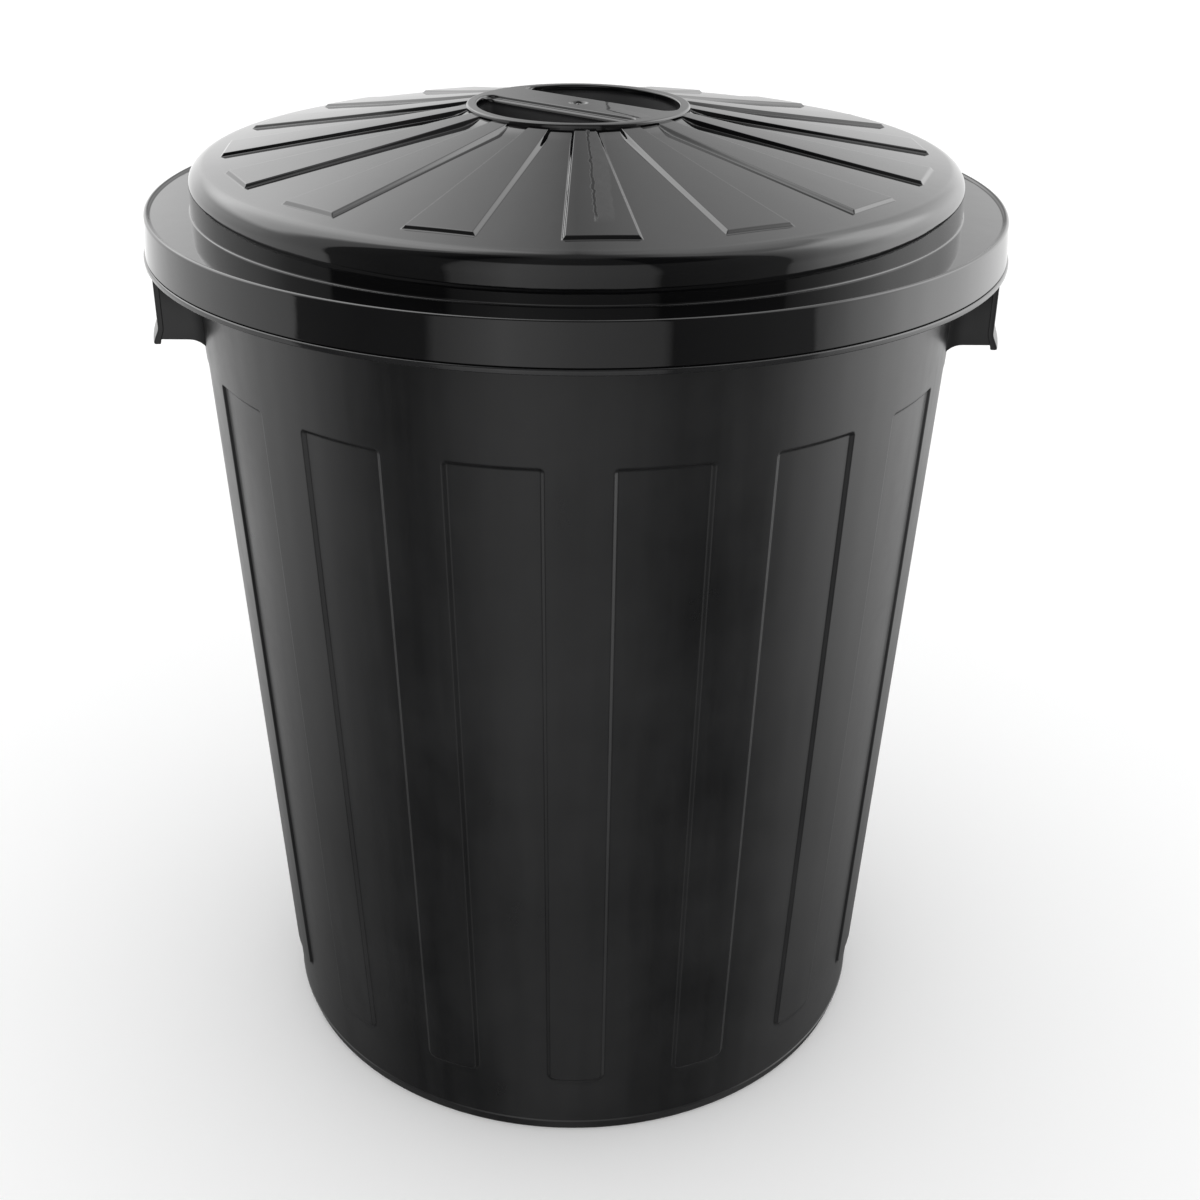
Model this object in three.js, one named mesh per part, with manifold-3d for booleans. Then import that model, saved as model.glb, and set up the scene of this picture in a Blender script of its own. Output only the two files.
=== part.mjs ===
// Round bin with a lift-off lid, moulded in black plastic: a tapered tub with shallow wall
// strips, a stiffening rim with two carrying handles under it, and a domed lid with raised
// ribs, a deep skirt and a grip bar across a round recess.
// Millimetres, +Z up. The origin is the centre of the circle that the foot rests on, and the
// front faces -Y. Angles are measured round +Z from the front, positive towards +X.

import * as THREE from "three";
import { ConvexGeometry } from "three/addons/geometries/ConvexGeometry.js";
import { mergeVertices } from "three/addons/utils/BufferGeometryUtils.js";
import Module from "manifold-3d";

const wasm = await Module();
wasm.setup();

// ---- Driving dimensions ----------------------------------------------------------------

const ROUND_STEPS = 80; // facets round every turned piece
const PIECE_GAP = 0.3; // clearance between neighbouring pieces
const CUT_MARGIN = 5; // how far a cutter runs past what it cuts

// Tub
const WALL_BASE_RADIUS = 177; // outer wall radius, carried down to the ground
const WALL_SLOPE = 0.0482; // radius gained per millimetre of height
const MOUTH_Z = 482; // top of the tub's wall
const WALL_THICKNESS = 2.5; // behind the recessed strips
const FLOOR_THICKNESS = 3;
const FOOT_WIDTH = 8; // width of the ring that touches the ground
const FOOT_HEIGHT = 3; // hollow under the floor
const FOOT_BEVEL = 1.3; // width of the bevel round the foot
const FOOT_BEVEL_HEIGHT = 7;
const STRIP_COUNT = 16; // recessed strips round the wall
const STRIP_DEPTH = 1.5;
const STRIP_BEVEL = 1.2; // width of the sloping edge of a strip
const STRIP_LOW_Z = 41; // lower end of the tongues
const STRIP_DROP = 71.5; // from the mouth down to the upper end of the strips
const TONGUE_ANGLE = 9.6; // degrees of plain wall between two strips

// Rim round the mouth
const RIM_REACH = 15.77; // from the tub's wall out to the outside of the hanging wall
const RIM_DEPTH = 18.4; // from the mouth down to the ledge's underside
const RIM_THICKNESS = 2.6;
const RIM_CORNER = 1.5;
const LEDGE_LIP = 0.8; // how far the ledge stands out past the lid's skirt

// Carrying handles
const HANDLE_SETBACK = 2.8; // from the ledge's edge in to the outside of the grip wall
const HANDLE_HEIGHT = 41.3;
const HANDLE_THICKNESS = 2.8;
const HANDLE_HALF_WIDTH = 61; // from the middle to the outside of an end web
const HANDLE_LIP = 2.4; // how far the lip stands out along the lower edge
const HANDLE_LIP_HEIGHT = 8;

// Lid
const LID_THICKNESS = 2.5;
const SKIRT_PLAY = 1.5; // room between the rim and the skirt
const SKIRT_FLARE = 1.5; // radius gained down to the skirt's lower edge
const SKIRT_CORNER = 2;
const FLANGE_PLAY = 0.5; // room between the mouth and the flange
const FLANGE_WIDTH = 22.6; // from the skirt's outside in to the neck
const FLANGE_EDGE = 4; // width of the slightly raised outer edge
const FLANGE_EDGE_HEIGHT = 1.5;
const NECK_HEIGHT = 12.5; // from the flange up to where the neck turns into the shoulder
const NECK_FILLET = 2;
const SHOULDER_RADIUS = 9.65;
const DOME_SLOPE = 0.152; // rise per millimetre towards the middle
const RIB_COUNT = 16;
const RIB_MARGIN = 17.4; // from the neck in to the outer ends of the ribs
const RIB_HEIGHT_IN = 3;
const RIB_HEIGHT_OUT = 1.5;
const RIB_HALF_ANGLE = 4.95; // of the rib's flat top
const RIB_BEVEL = 1.7;
const RIB_SINK = 1; // how far a rib's foot runs into the dome's wall
const LID_TURN = 3.3; // degrees that the closed lid sits past the tub's front
const FILLET_STEPS = 2; // facets of a small rounding
const SHOULDER_STEPS = 5; // facets of the lid's shoulder

// Grip in the middle of the lid
const GRIP_RADIUS = 57.1;
const GRIP_RISE = 4.38; // how far the ring stands above the dome at its edge
const GRIP_RING_WIDTH = 5.4;
const RING_CORNER = 1.2;
const GRIP_DEPTH = 29.5;
const GRIP_DRAFT = 2.5; // how much the recess narrows down to its floor
const GRIP_THICKNESS = 2.8;
const BAR_WIDTH = 31;
const BAR_CORNER = 3;
const BAR_RIB_STEPS = 2; // the bar lines up with the rib this many ribs on from the front one

// ---- Derived places --------------------------------------------------------------------

const DEGREE = Math.PI / 180;
const STRIP_PITCH = 360 / STRIP_COUNT;
const RIB_PITCH = 360 / RIB_COUNT;
const wallRadius = (z) => WALL_BASE_RADIUS + WALL_SLOPE * z;
const innerWallRadius = (z) => wallRadius(z) - STRIP_DEPTH - WALL_THICKNESS;
const floorTopZ = FOOT_HEIGHT + FLOOR_THICKNESS;
const footRadius = WALL_BASE_RADIUS - STRIP_DEPTH - FOOT_BEVEL;
const stripTopZ = MOUTH_Z - STRIP_DROP;

const rimRadius = wallRadius(MOUTH_Z) + RIM_REACH;
const ledgeLowZ = MOUTH_Z - RIM_DEPTH;
const ledgeTopZ = ledgeLowZ + RIM_THICKNESS;

const skirtTopRadius = rimRadius + SKIRT_PLAY + LID_THICKNESS;
const skirtLowRadius = skirtTopRadius + SKIRT_FLARE;
const skirtLowZ = ledgeTopZ + PIECE_GAP;
const flangeZ = MOUTH_Z + FLANGE_PLAY + LID_THICKNESS;
const flangeLowZ = flangeZ - LID_THICKNESS;
const flangeRadius = skirtTopRadius - FLANGE_EDGE - FLANGE_EDGE_HEIGHT / 2;
const skirtTopZ = flangeZ + FLANGE_EDGE_HEIGHT;
const neckRadius = skirtTopRadius - FLANGE_WIDTH;
const neckTopZ = flangeZ + NECK_HEIGHT;

const ledgeRadius = skirtLowRadius + LEDGE_LIP;
const handleRadius = ledgeRadius - HANDLE_SETBACK;
const handleTopZ = ledgeLowZ - PIECE_GAP;
const handleLowZ = handleTopZ - HANDLE_HEIGHT;

const domeAngle = Math.atan(DOME_SLOPE);
const shoulderCentreRadius = neckRadius - SHOULDER_RADIUS;
const domeEdgeRadius = shoulderCentreRadius + SHOULDER_RADIUS * Math.sin(domeAngle);
const domeEdgeZ = neckTopZ + SHOULDER_RADIUS * Math.cos(domeAngle);
const domeZ = (radius) => domeEdgeZ + (domeEdgeRadius - radius) * DOME_SLOPE;
const underDomeZ = (radius) => domeZ(radius) - LID_THICKNESS / Math.cos(domeAngle);
const ribReach = neckRadius - RIB_MARGIN;
const gripTopZ = domeZ(GRIP_RADIUS) + GRIP_RISE;
const gripFloorZ = gripTopZ - GRIP_DEPTH;
const gripOpeningRadius = GRIP_RADIUS + PIECE_GAP;

// ---- Shape helpers ---------------------------------------------------------------------

/** Keeps only positions and joins the shared vertices, ready for cutting. */
function welded(geometry) {
  geometry.deleteAttribute("normal");
  geometry.deleteAttribute("uv");
  return mergeVertices(geometry, 1e-4);
}

/** Turns a closed geometry into a solid that can be joined and cut. */
function solid(geometry) {
  const closed = welded(geometry);
  const mesh = new wasm.Mesh({
    numProp: 3,
    vertProperties: new Float32Array(closed.attributes.position.array),
    triVerts: new Uint32Array(closed.index.array),
  });
  return new wasm.Manifold(mesh);
}

/** Turns a solid back into a geometry. */
function geometryOf(body) {
  const mesh = body.getMesh();
  const geometry = new THREE.BufferGeometry();
  geometry.setAttribute("position", new THREE.BufferAttribute(mesh.vertProperties, 3));
  geometry.setIndex(new THREE.BufferAttribute(mesh.triVerts, 1));
  return geometry;
}

/** Revolves a list of [radius, z] points round the Z axis. */
function turned(profile, steps = ROUND_STEPS) {
  const points = profile.map(([radius, z]) => new THREE.Vector2(radius, z));
  const geometry = new THREE.LatheGeometry(points, steps);
  geometry.rotateX(Math.PI / 2);
  return geometry;
}

/** A closed ring of revolution: the profile returns to its first point. */
function turnedRing(profile, steps) {
  return turned([...profile, profile[0]], steps);
}

/** Points on an arc in the profile plane, from one angle to another in degrees. */
function arc(centreRadius, centreZ, radius, from, to, steps) {
  const points = [];
  for (let i = 0; i <= steps; i += 1) {
    const angle = (from + ((to - from) * i) / steps) * DEGREE;
    points.push([centreRadius + radius * Math.cos(angle), centreZ + radius * Math.sin(angle)]);
  }
  return points;
}

/** A solid between two heights over an outline of [x, y] points. */
function raised(outline, lowZ, topZ) {
  const shape = new THREE.Shape(outline.map(([x, y]) => new THREE.Vector2(x, y)));
  const geometry = new THREE.ExtrudeGeometry(shape, { depth: topZ - lowZ, bevelEnabled: false });
  geometry.translate(0, 0, lowZ);
  return geometry;
}

/** A plain box between two corners. */
function block(low, high) {
  const size = high.map((value, axis) => value - low[axis]);
  const geometry = new THREE.BoxGeometry(...size);
  geometry.translate(...low.map((value, axis) => value + size[axis] / 2));
  return geometry;
}

// ---- Tub -------------------------------------------------------------------------------

/** How much of the strip depth applies at an angle: 0 on a tongue, 1 in a strip. */
function stripShare(angle) {
  const fromTongue = Math.abs(((angle + STRIP_PITCH / 2) % STRIP_PITCH) - STRIP_PITCH / 2);
  return fromTongue <= TONGUE_ANGLE / 2 + 1e-6 ? 0 : 1;
}

/** The angles of the wall's upright edges, with both sides of every strip's sloping edge. */
function wallAngles() {
  const slopeAngle = STRIP_BEVEL / (WALL_BASE_RADIUS * DEGREE);
  const tongueEnd = TONGUE_ANGLE / 2;
  const stripStart = tongueEnd + slopeAngle;
  const stripEnd = STRIP_PITCH - stripStart;
  const stripThird = (stripEnd - stripStart) / 3;
  const angles = [];
  for (let i = 0; i < STRIP_COUNT; i += 1) {
    const start = i * STRIP_PITCH;
    angles.push(start, start + tongueEnd / 2, start + tongueEnd, start + stripStart);
    angles.push(start + stripStart + stripThird, start + stripEnd - stripThird);
    angles.push(start + stripEnd, start + STRIP_PITCH - tongueEnd);
    angles.push(start + STRIP_PITCH - tongueEnd / 2);
  }
  return angles;
}

/** The tub's section at one angle, from the axis under the floor round to the axis above it. */
function tubSection(angle) {
  const depth = STRIP_DEPTH * stripShare(angle);
  const sunk = (z) => wallRadius(z) - STRIP_DEPTH;
  const level = (z) => wallRadius(z) - depth;
  return [
    [0, FOOT_HEIGHT],
    [footRadius - FOOT_WIDTH - FOOT_HEIGHT, FOOT_HEIGHT],
    [footRadius - FOOT_WIDTH, 0],
    [footRadius, 0],
    [sunk(FOOT_BEVEL_HEIGHT), FOOT_BEVEL_HEIGHT],
    [sunk(STRIP_LOW_Z - STRIP_BEVEL), STRIP_LOW_Z - STRIP_BEVEL],
    [level(STRIP_LOW_Z), STRIP_LOW_Z],
    [level(stripTopZ - STRIP_BEVEL), stripTopZ - STRIP_BEVEL],
    [wallRadius(stripTopZ), stripTopZ],
    [wallRadius(MOUTH_Z), MOUTH_Z],
    [innerWallRadius(MOUTH_Z), MOUTH_Z],
    [innerWallRadius(floorTopZ + WALL_THICKNESS), floorTopZ + WALL_THICKNESS],
    [innerWallRadius(floorTopZ) - WALL_THICKNESS, floorTopZ],
    [0, floorTopZ],
  ];
}

/** Sweeps a section round the axis: sectionAt(angle) lists the same number of points each time. */
function swept(sectionAt, angles) {
  const corners = [];
  const place = (angle, [radius, z]) => {
    corners.push(radius * Math.sin(angle * DEGREE), -radius * Math.cos(angle * DEGREE), z);
  };
  angles.forEach((angle, i) => {
    const nextAngle = angles[(i + 1) % angles.length];
    const here = sectionAt(angle);
    const next = sectionAt(nextAngle);
    for (let j = 0; j + 1 < here.length; j += 1) {
      place(angle, here[j]);
      place(nextAngle, next[j]);
      place(nextAngle, next[j + 1]);
      place(angle, here[j]);
      place(nextAngle, next[j + 1]);
      place(angle, here[j + 1]);
    }
  });
  const loose = new THREE.BufferGeometry();
  loose.setAttribute("position", new THREE.Float32BufferAttribute(corners, 3));
  return withoutFlatTriangles(mergeVertices(loose, 1e-4));
}

/** Drops the triangles that shrink to a line where a section meets the axis. */
function withoutFlatTriangles(geometry) {
  const kept = [];
  const index = geometry.index.array;
  for (let i = 0; i < index.length; i += 3) {
    const [a, b, c] = [index[i], index[i + 1], index[i + 2]];
    if (a !== b && b !== c && c !== a) kept.push(a, b, c);
  }
  geometry.setIndex(kept);
  return geometry;
}

// ---- Rim -------------------------------------------------------------------------------

/** The flat ring round the mouth, with a rounded outer edge. */
function rimTopGeometry() {
  const insideRadius = wallRadius(MOUTH_Z) + PIECE_GAP;
  const lowZ = MOUTH_Z - RIM_THICKNESS;
  return turnedRing([
    [insideRadius, lowZ],
    [rimRadius, lowZ],
    ...arc(rimRadius - RIM_CORNER, MOUTH_Z - RIM_CORNER, RIM_CORNER, 0, 90, FILLET_STEPS),
    [insideRadius, MOUTH_Z],
  ]);
}

/** The wall that hangs down from the outside of the flat ring. */
function rimWallGeometry() {
  const topZ = MOUTH_Z - RIM_THICKNESS - PIECE_GAP;
  const lowZ = ledgeTopZ + PIECE_GAP;
  return turnedRing([
    [rimRadius - RIM_THICKNESS, lowZ],
    [rimRadius, lowZ],
    [rimRadius, topZ],
    [rimRadius - RIM_THICKNESS, topZ],
  ]);
}

/** The ledge at the foot of the hanging wall, which carries the lid's skirt. */
function rimLedgeGeometry() {
  return turnedRing([
    [rimRadius - RIM_THICKNESS, ledgeLowZ],
    [ledgeRadius, ledgeLowZ],
    [ledgeRadius, ledgeTopZ],
    [rimRadius - RIM_THICKNESS, ledgeTopZ],
  ]);
}

// ---- Carrying handles ------------------------------------------------------------------

/** One handle on the +X side: a grip wall with a lip, and a web at each end to the tub. */
function handleGeometry() {
  const inside = handleRadius - HANDLE_THICKNESS;
  const lipRadius = handleRadius + HANDLE_LIP;
  const gripRing = turnedRing([
    [inside, handleLowZ],
    [lipRadius, handleLowZ],
    [lipRadius, handleLowZ + HANDLE_LIP],
    [handleRadius, handleLowZ + HANDLE_LIP_HEIGHT],
    [handleRadius, handleTopZ],
    [inside, handleTopZ],
  ]);
  const span = block(
    [0, -HANDLE_HALF_WIDTH, handleLowZ - CUT_MARGIN],
    [lipRadius + CUT_MARGIN, HANDLE_HALF_WIDTH, handleTopZ + CUT_MARGIN],
  );
  const gripWall = solid(gripRing).intersect(solid(span));

  const webLowZ = handleLowZ + HANDLE_LIP;
  const webRadius = handleRadius - HANDLE_THICKNESS / 2;
  const outerBound = solid(turned([
    [0, webLowZ],
    [webRadius, webLowZ],
    [webRadius, handleTopZ],
    [0, handleTopZ],
  ]));
  const webSlabs = solid(block(
    [0, -HANDLE_HALF_WIDTH, webLowZ - CUT_MARGIN],
    [lipRadius, HANDLE_HALF_WIDTH, handleTopZ + CUT_MARGIN],
  )).subtract(solid(block(
    [-CUT_MARGIN, HANDLE_THICKNESS - HANDLE_HALF_WIDTH, webLowZ - 2 * CUT_MARGIN],
    [lipRadius + CUT_MARGIN, HANDLE_HALF_WIDTH - HANDLE_THICKNESS, handleTopZ + 2 * CUT_MARGIN],
  )));
  const tubSpace = solid(turned([
    [0, webLowZ - CUT_MARGIN],
    [wallRadius(webLowZ - CUT_MARGIN) + PIECE_GAP, webLowZ - CUT_MARGIN],
    [wallRadius(handleTopZ + CUT_MARGIN) + PIECE_GAP, handleTopZ + CUT_MARGIN],
    [0, handleTopZ + CUT_MARGIN],
  ]));
  return geometryOf(webSlabs.intersect(outerBound).subtract(tubSpace).add(gripWall));
}

// ---- Lid -------------------------------------------------------------------------------

/** The skirt that hangs over the rim, with the slightly raised edge of the flange. */
function skirtGeometry() {
  const insideRadius = flangeRadius + PIECE_GAP;
  const edgeTopRadius = skirtTopRadius - FLANGE_EDGE + FLANGE_EDGE_HEIGHT / 2;
  return turnedRing([
    [insideRadius, flangeLowZ],
    [skirtTopRadius - LID_THICKNESS, flangeLowZ],
    [skirtLowRadius - LID_THICKNESS, skirtLowZ],
    [skirtLowRadius, skirtLowZ],
    ...arc(
      skirtTopRadius - SKIRT_CORNER, skirtTopZ - SKIRT_CORNER, SKIRT_CORNER, 0, 90, FILLET_STEPS,
    ),
    [edgeTopRadius, skirtTopZ],
    [insideRadius, flangeZ + PIECE_GAP],
  ]);
}

/** The flat ring between skirt and neck, rounded up towards the neck. */
function flangeGeometry() {
  const insideRadius = neckRadius + PIECE_GAP;
  return turnedRing([
    [insideRadius, flangeLowZ],
    [flangeRadius, flangeLowZ],
    [flangeRadius, flangeZ],
    ...arc(insideRadius + NECK_FILLET, flangeZ + NECK_FILLET, NECK_FILLET, 270, 180, FILLET_STEPS),
  ]);
}

/** The section of neck and dome, from the grip's opening outwards underneath and back on top. */
function domeSection() {
  const shoulderEnd = 90 - domeAngle / DEGREE;
  const insideShoulderRadius = SHOULDER_RADIUS - LID_THICKNESS;
  return [
    [gripOpeningRadius, underDomeZ(gripOpeningRadius)],
    ...arc(shoulderCentreRadius, neckTopZ, insideShoulderRadius, shoulderEnd, 0, SHOULDER_STEPS),
    [neckRadius - LID_THICKNESS, flangeLowZ],
    [neckRadius, flangeLowZ],
    ...arc(shoulderCentreRadius, neckTopZ, SHOULDER_RADIUS, 0, shoulderEnd, SHOULDER_STEPS),
    [gripOpeningRadius, domeZ(gripOpeningRadius)],
  ];
}

/**
 * One rib on the dome, towards the front: flat on top, bevelled round, tapering to the middle.
 * inset narrows it and drop lowers it, which gives the matching hollow under the lid.
 */
function ribGeometry(inset, drop) {
  const innerRadius = GRIP_RADIUS - CUT_MARGIN;
  const topHalfWidth = (radius) => radius * Math.tan(RIB_HALF_ANGLE * DEGREE) - inset;
  const corners = [];
  const ends = [
    { reach: innerRadius, height: RIB_HEIGHT_IN, bevel: 0 },
    { reach: ribReach - inset, height: RIB_HEIGHT_OUT, bevel: RIB_BEVEL },
  ];
  for (const { reach, height, bevel } of ends) {
    const sink = drop > 0 ? LID_THICKNESS : RIB_SINK;
    const topRadius = reach - bevel;
    const lowRadius = reach + (bevel * sink) / height;
    const lowHalfWidth = topHalfWidth(topRadius) + (RIB_BEVEL * (height + sink)) / height;
    for (const side of [-1, 1]) {
      const top = [side * topHalfWidth(topRadius), -topRadius, domeZ(topRadius) + height - drop];
      const low = [side * lowHalfWidth, -lowRadius, domeZ(lowRadius) - sink - drop];
      corners.push(new THREE.Vector3(...top), new THREE.Vector3(...low));
    }
  }
  return new ConvexGeometry(corners);
}

/** The neck and the dome in one wall, embossed with the ribs. */
function domeGeometry() {
  let dome = solid(turnedRing(domeSection()));
  const turns = [];
  for (let i = 0; i < RIB_COUNT; i += 1) {
    turns.push(new THREE.Matrix4().makeRotationZ((LID_TURN + i * RIB_PITCH) * DEGREE));
  }
  for (const turn of turns) {
    dome = dome.add(solid(ribGeometry(0, 0).applyMatrix4(turn)));
  }
  for (const turn of turns) {
    dome = dome.subtract(solid(ribGeometry(RIB_BEVEL, LID_THICKNESS).applyMatrix4(turn)));
  }
  const opening = turned([
    [0, gripFloorZ],
    [gripOpeningRadius, gripFloorZ],
    [gripOpeningRadius, gripTopZ + CUT_MARGIN],
    [0, gripTopZ + CUT_MARGIN],
  ]);
  return geometryOf(dome.subtract(solid(opening)));
}

// ---- Grip ------------------------------------------------------------------------------

/** A closed round slug between two heights that narrows downwards. */
function slug(topRadius, lowRadius, topZ, lowZ) {
  return solid(turned([[0, lowZ], [lowRadius, lowZ], [topRadius, topZ], [0, topZ]]));
}

/** A bar-shaped prism along Y: halfWidth at the top, wider below by the draft. */
function barPrism(halfWidth, corner, topZ, lowZ, halfLength) {
  const lowHalfWidth = halfWidth + GRIP_DRAFT / 2;
  const right = arc(halfWidth - corner, topZ - corner, corner, 0, 90, FILLET_STEPS);
  const left = right.map(([x, z]) => [-x, z]).reverse();
  const outline = [[-lowHalfWidth, lowZ], [lowHalfWidth, lowZ], ...right, ...left];
  const geometry = raised(outline, -halfLength, halfLength);
  geometry.rotateX(Math.PI / 2);
  return geometry;
}

/** The round recess with its raised ring, and the hollow bar that crosses it. */
function gripGeometry() {
  const lowZ = gripFloorZ - GRIP_THICKNESS;
  const recessTop = GRIP_RADIUS - GRIP_RING_WIDTH;
  const recessLow = recessTop - GRIP_DRAFT;
  const ringLowZ = underDomeZ(GRIP_RADIUS);
  const ringCorner = arc(
    GRIP_RADIUS - RING_CORNER, gripTopZ - RING_CORNER, RING_CORNER, 0, 90, FILLET_STEPS,
  );
  const cup = solid(turned([
    [0, lowZ],
    [recessLow + GRIP_THICKNESS, lowZ],
    [recessTop + GRIP_THICKNESS, ringLowZ - GRIP_RING_WIDTH],
    [GRIP_RADIUS, ringLowZ],
    ...ringCorner,
    [recessTop, gripTopZ],
    [recessLow, gripFloorZ],
    [0, gripFloorZ],
  ]));
  const halfWidth = BAR_WIDTH / 2;
  const bar = solid(barPrism(halfWidth, BAR_CORNER, gripTopZ, lowZ + GRIP_THICKNESS / 2, GRIP_RADIUS));
  const hollow = solid(barPrism(
    halfWidth - GRIP_THICKNESS, BAR_CORNER / 2, gripTopZ - GRIP_THICKNESS, lowZ - CUT_MARGIN,
    GRIP_RADIUS,
  ));
  const barBound = slug(
    recessTop + GRIP_RING_WIDTH / 2, recessLow + GRIP_THICKNESS / 2, gripTopZ, lowZ,
  );
  const hollowBound = slug(
    recessTop - GRIP_THICKNESS, recessLow - GRIP_THICKNESS, gripTopZ, lowZ - CUT_MARGIN,
  );
  const grip = cup.add(bar.intersect(barBound)).subtract(hollow.intersect(hollowBound));
  const geometry = geometryOf(grip);
  geometry.rotateZ((LID_TURN + BAR_RIB_STEPS * RIB_PITCH) * DEGREE);
  return geometry;
}

// ---- Assembly --------------------------------------------------------------------------

const bodyPlastic = { color: 0x1b1c1e, roughness: 0.45, metalness: 0 };
const lidPlastic = { color: 0x17181a, roughness: 0.22, metalness: 0 };

/** One named piece with a material of its own. */
function piece(name, geometry, finish) {
  const plain = geometry.index ? geometry.toNonIndexed() : geometry;
  plain.computeVertexNormals();
  const mesh = new THREE.Mesh(plain, new THREE.MeshStandardMaterial(finish));
  mesh.name = name;
  return mesh;
}

const bin = new THREE.Group();
bin.add(piece("tub", swept(tubSection, wallAngles()), bodyPlastic));
bin.add(piece("rim_top", rimTopGeometry(), bodyPlastic));
bin.add(piece("rim_wall", rimWallGeometry(), bodyPlastic));
bin.add(piece("rim_ledge", rimLedgeGeometry(), bodyPlastic));
const rightHandle = piece("right_handle", handleGeometry(), bodyPlastic);
const leftHandle = piece("left_handle", handleGeometry(), bodyPlastic);
leftHandle.rotation.z = Math.PI;
bin.add(rightHandle, leftHandle);

const lid = new THREE.Group();
lid.add(piece("lid_skirt", skirtGeometry(), lidPlastic));
lid.add(piece("lid_flange", flangeGeometry(), lidPlastic));
lid.add(piece("lid_dome", domeGeometry(), lidPlastic));
lid.add(piece("lid_grip", gripGeometry(), lidPlastic));

const assembly = new THREE.Group();
assembly.add(bin, lid);

export default assembly;
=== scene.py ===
"""Round plastic bin with a lift-off lid, dressed for the camera.

The bin is one moulding in satin black plastic: a tapered tub with shallow strips, a downturned
rim and two carrying handles. The lid is one moulding in glossy black plastic: a skirt, a flange,
a neck and a dome with sixteen ribs, and a round recess with a bar to lift it by. Shapes are
worked out in millimetres and put into the meshes in metres. Angles are in degrees round +Z from
the front (-Y), positive towards +X.
"""

import math

import bmesh
import bpy
import numpy as np
from mathutils import Matrix, Vector


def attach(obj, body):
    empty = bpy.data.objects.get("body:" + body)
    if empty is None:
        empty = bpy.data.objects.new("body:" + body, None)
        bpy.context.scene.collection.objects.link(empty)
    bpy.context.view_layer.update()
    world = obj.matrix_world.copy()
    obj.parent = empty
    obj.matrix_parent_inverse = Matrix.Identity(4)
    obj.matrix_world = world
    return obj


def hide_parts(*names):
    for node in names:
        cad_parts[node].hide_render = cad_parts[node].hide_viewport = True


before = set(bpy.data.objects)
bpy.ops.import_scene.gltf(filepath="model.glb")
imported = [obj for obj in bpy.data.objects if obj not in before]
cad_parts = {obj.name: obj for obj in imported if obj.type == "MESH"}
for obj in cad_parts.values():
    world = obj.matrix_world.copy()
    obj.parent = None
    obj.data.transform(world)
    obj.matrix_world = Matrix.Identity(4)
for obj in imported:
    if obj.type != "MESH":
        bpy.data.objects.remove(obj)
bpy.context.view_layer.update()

# ---- Tub and rim -----------------------------------------------------------------------
# One injection moulding in satin black polypropylene. The wall tapers down to a foot, carries
# sixteen shallow recessed strips, and turns over at the mouth into a rim that hangs down to the
# ledge where the lid rests. Made here as one turned section with the strips pressed into it.

WALL_BASE = 177.0  # outer radius of the wall, carried down to the ground
WALL_SLOPE = 0.0482
WALL_THICKNESS = 4.0  # between the strips
MOUTH_Z = 482.0
FOOT_RADIUS = 174.2
FOOT_RING_RADIUS = 166.2  # inside of the ring it stands on
FOOT_RING_DEPTH = 3.0  # of the ring below the underside of the floor
FOOT_EDGE_Z = 7.0  # of the small step where the wall starts
FLOOR_Z = 6.0  # inside
RIM_RADIUS = 216.0
RIM_THICKNESS = 2.6
LEDGE_RADIUS = 222.3
LEDGE_LOW_Z = 463.6
LEDGE_TOP_Z = 466.2  # the lid's skirt rests just above it
STRIP_COUNT = 16
STRIP_DEPTH = 1.5
STRIP_LOW_Z = 41.0
STRIP_TOP_Z = 412.3
STRIP_BEVEL = 2.3  # width of the sloping edge of a strip
STRIP_CORNER = 2.8  # radius at the upper corners
TONGUE_HALF_ANGLE = 4.4  # of the plain wall left standing between two strips
TONGUE_CORNER = 3.0  # radius at the lower corners
TONGUE_TURN = 0.35  # the front tongue's middle lies this far past the front


def wall_radius(z):
    """Outer radius of the tub's wall: a straight taper."""
    return WALL_BASE + WALL_SLOPE * z


def unit(vectors):
    """Vectors of the last axis, each divided by its length."""
    return vectors / np.linalg.norm(vectors, axis=-1, keepdims=True)


def rounded(corners, steps=6):
    """Points [radius, z] of an open section through corners [radius, z, rounding].

    Each corner between the first and the last gives way to the circle arc that touches its two
    sides. The arc's centre lies on the bisector, and its points are the sine-weighted sums of
    the two rays to its ends. One more point before and after the arc keeps the flats beside it
    flat in the shading.
    """
    corners = np.asarray(corners, float)
    ends = corners[[0, -1], :2]
    point, size = corners[1:-1, None, :2], corners[1:-1, None, 2:]
    back = unit(corners[:-2, None, :2] - point)
    ahead = unit(corners[2:, None, :2] - point)
    half = np.arccos(np.clip((back * ahead).sum(-1, keepdims=True), -1, 1)) / 2
    reach = size / np.tan(half)
    centre = point + unit(back + ahead) * size / np.sin(half)
    start, end = point + back * reach, point + ahead * reach
    sweep = math.pi - 2 * half
    share = np.linspace(0, 1, steps + 1)[None, :, None]
    arc = centre + (np.sin((1 - share) * sweep) * (start - centre)
                    + np.sin(share * sweep) * (end - centre)) / np.sin(sweep)
    margin = 0.25 * size + 0.02
    groups = np.concatenate([start + back * margin, arc, end + ahead * margin], axis=1)
    return np.concatenate([ends[:1], groups.reshape(-1, 2), ends[1:]])


def ramp(distance, width, soft=0.22):
    """From 0 to 1 over a width: a straight slope whose two ends are rounded off by parabolas
    over the soft share of it."""
    t = np.clip(distance / width, 0, 1)
    rise = 1 / (1 - soft)
    low = t * t * rise / (2 * soft)
    high = 1 - (1 - t) ** 2 * rise / (2 * soft)
    return np.where(t < soft, low, np.where(t > 1 - soft, high, (t - soft / 2) * rise))


def turned(radius, z, degrees):
    """Points on a surface of revolution: x = r sin(angle), y = -r cos(angle), z as given."""
    radius, z, angle = np.broadcast_arrays(radius, z, np.radians(degrees))
    return np.stack([radius * np.sin(angle), -radius * np.cos(angle), z], axis=-1)


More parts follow.
